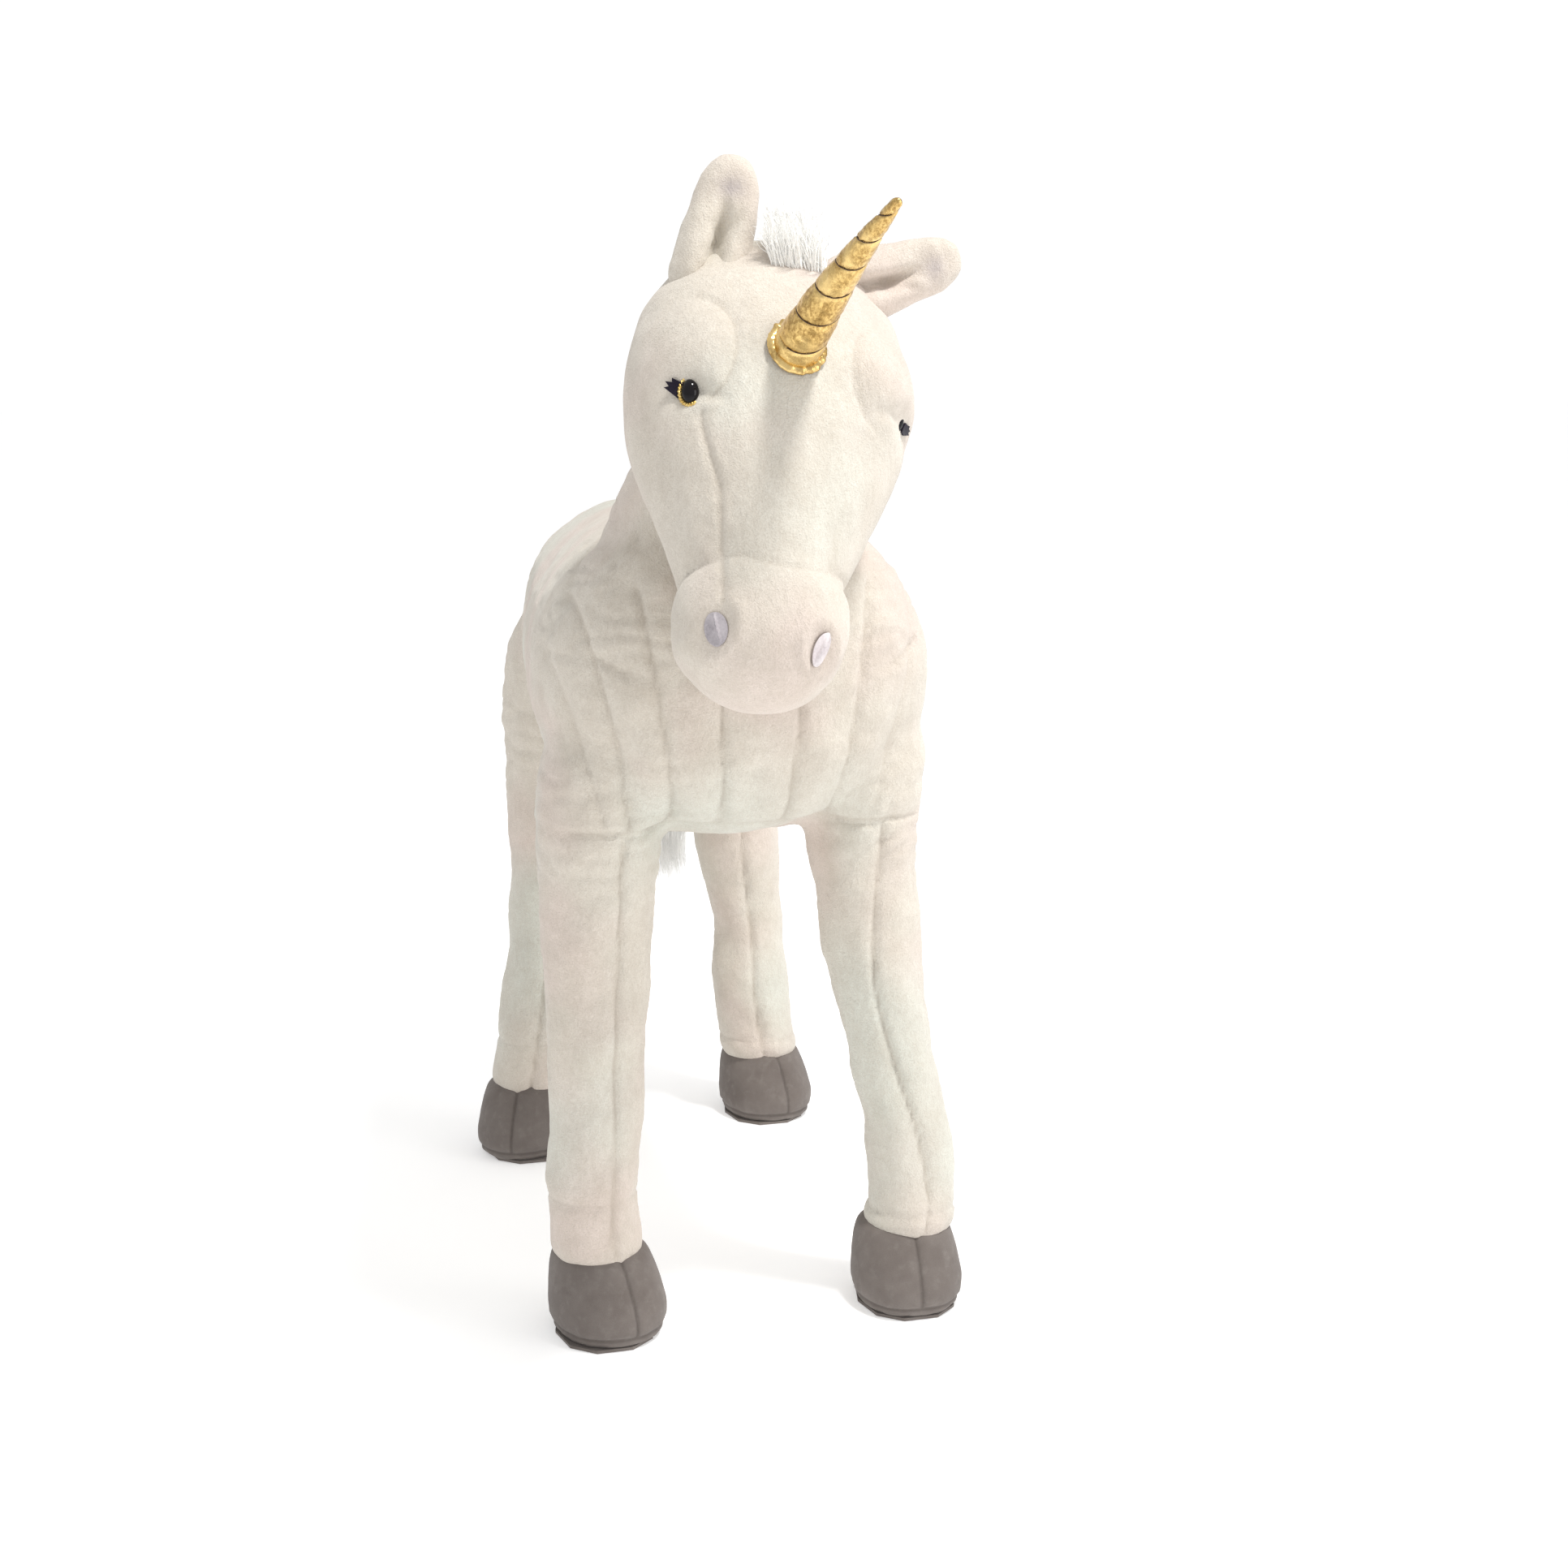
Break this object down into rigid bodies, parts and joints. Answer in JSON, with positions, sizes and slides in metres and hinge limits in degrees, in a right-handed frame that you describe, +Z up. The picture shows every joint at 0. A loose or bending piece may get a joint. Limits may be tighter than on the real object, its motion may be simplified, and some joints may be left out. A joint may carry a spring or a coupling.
{
  "type": "plush unicorn",
  "caption": "Large standing plush unicorn on long slim legs, with a gold fabric horn, soft floppy ears, suede hooves, white forelock and tail, on a bendable steel frame.",
  "frame": {"origin": "middle of the bounding box, on the floor under the hooves", "axes": "+Z up, -Y the way the unicorn faces, +X its own left side"},
  "size_m": [0.378, 0.934, 1.0023],
  "materials": {
    "plush_ivory": "short-pile plush, ivory, matt",
    "ear_lining": "short-pile plush, brushed grey towards the tip",
    "hoof_suede": "grey-brown suede cloth",
    "sole_suede": "grey-brown suede cloth on stiff board",
    "fibre_filling": "white polyester fibre filling, hidden",
    "frame_steel": "bright steel rod, hidden",
    "eye_gloss": "polished black",
    "washer_plastic": "white moulded plastic, hidden",
    "gold_cord": "glittering gold cord",
    "lash_felt": "black felt",
    "nostril_satin": "lilac-grey satin",
    "horn_gold": "crinkled gold metallic cloth",
    "horn_stitch": "dark brown thread",
    "fur_white": "long white synthetic fur"
  },
  "bodies": {
    "torso": {"steel_frame": "frame_steel", "torso_stuffing": "fibre_filling", "chest_strip": "plush_ivory", "flank_right": "plush_ivory", "flank_left": "plush_ivory"},
    "front_right_leg": {"front_right_leg_cover": "plush_ivory", "front_right_cuff": "plush_ivory", "front_right_hoof_cover": "hoof_suede", "front_right_sole": "sole_suede", "front_right_leg_rod": "frame_steel", "front_right_leg_stuffing": "fibre_filling"},
    "front_left_leg": {"front_left_leg_cover": "plush_ivory", "front_left_cuff": "plush_ivory", "front_left_hoof_cover": "hoof_suede", "front_left_sole": "sole_suede", "front_left_leg_rod": "frame_steel", "front_left_leg_stuffing": "fibre_filling"},
    "hind_right_leg": {"hind_right_leg_cover": "plush_ivory", "hind_right_cuff": "plush_ivory", "hind_right_hoof_cover": "hoof_suede", "hind_right_sole": "sole_suede", "hind_right_leg_rod": "frame_steel", "hind_right_leg_stuffing": "fibre_filling"},
    "hind_left_leg": {"hind_left_leg_cover": "plush_ivory", "hind_left_cuff": "plush_ivory", "hind_left_hoof_cover": "hoof_suede", "hind_left_sole": "sole_suede", "hind_left_leg_rod": "frame_steel", "hind_left_leg_stuffing": "fibre_filling"},
    "neck": {"neck_cover": "plush_ivory", "neck_tube": "frame_steel", "neck_stuffing": "fibre_filling", "neck_mane": "fur_white"},
    "head": {"head_bracket": "frame_steel", "face_gusset": "plush_ivory", "cheek_right": "plush_ivory", "cheek_left": "plush_ivory", "muzzle_cover": "plush_ivory", "head_stuffing": "fibre_filling", "right_eye": "eye_gloss", "left_eye": "eye_gloss", "right_eye_washer": "washer_plastic", "left_eye_washer": "washer_plastic", "right_eye_trim": "gold_cord", "left_eye_trim": "gold_cord", "right_eyelash": "lash_felt", "left_eyelash": "lash_felt", "right_nostril": "nostril_satin", "left_nostril": "nostril_satin", "horn_cover": "horn_gold", "horn_stuffing": "fibre_filling", "horn_rim": "horn_gold", "horn_thread": "horn_stitch", "forelock": "fur_white"},
    "ear_right": {"right_ear": "plush_ivory", "right_ear_lining": "ear_lining"},
    "ear_left": {"left_ear": "plush_ivory", "left_ear_lining": "ear_lining"},
    "tail_root": {"tail_dock": "plush_ivory"},
    "tail": {"tail_hair": "fur_white"}
  },
  "joints": [
    {"name": "shoulder_right", "type": "hinge", "parent": "torso", "child": "front_right_leg", "pos_m": [-0.13233, -0.15843, 0.47], "axis": [1, 0, 0], "range_deg": [-10, 10]},
    {"name": "shoulder_left", "type": "hinge", "parent": "torso", "child": "front_left_leg", "pos_m": [0.09767, -0.15843, 0.47], "axis": [1, 0, 0], "range_deg": [-10, 10]},
    {"name": "hip_right", "type": "hinge", "parent": "torso", "child": "hind_right_leg", "pos_m": [-0.09033, 0.33758, 0.47], "axis": [1, 0, 0], "range_deg": [-10, 10]},
    {"name": "hip_left", "type": "hinge", "parent": "torso", "child": "hind_left_leg", "pos_m": [0.10367, 0.33758, 0.47], "axis": [1, 0, 0], "range_deg": [-10, 10]},
    {"name": "neck_turn", "type": "hinge", "parent": "torso", "child": "neck", "pos_m": [-0.00833, -0.11943, 0.655], "axis": [0, -0.5217, 0.8531], "range_deg": [-15, 15]},
    {"name": "head_nod", "type": "hinge", "parent": "neck", "child": "head", "pos_m": [-0.00833, -0.21543, 0.812], "axis": [1, 0, 0], "range_deg": [-10, 4]},
    {"name": "ear_right_flop", "type": "hinge", "parent": "head", "child": "ear_right", "pos_m": [-0.05205, -0.22039, 0.89681], "axis": [0.0698, 0.9976, 0], "range_deg": [-40, 0]},
    {"name": "ear_left_flop", "type": "hinge", "parent": "head", "child": "ear_left", "pos_m": [0.05541, -0.2279, 0.89291], "axis": [0.0698, 0.9976, 0], "range_deg": [-40, 6]},
    {"name": "tail_lift", "type": "hinge", "parent": "torso", "child": "tail_root", "pos_m": [-0.00833, 0.39858, 0.61], "axis": [1, 0, 0], "range_deg": [0, 40]},
    {"name": "tail_swing", "type": "hinge", "parent": "tail_root", "child": "tail", "pos_m": [-0.00833, 0.43457, 0.59], "axis": [0, 1, 0], "range_deg": [-25, 25]}
  ]
}
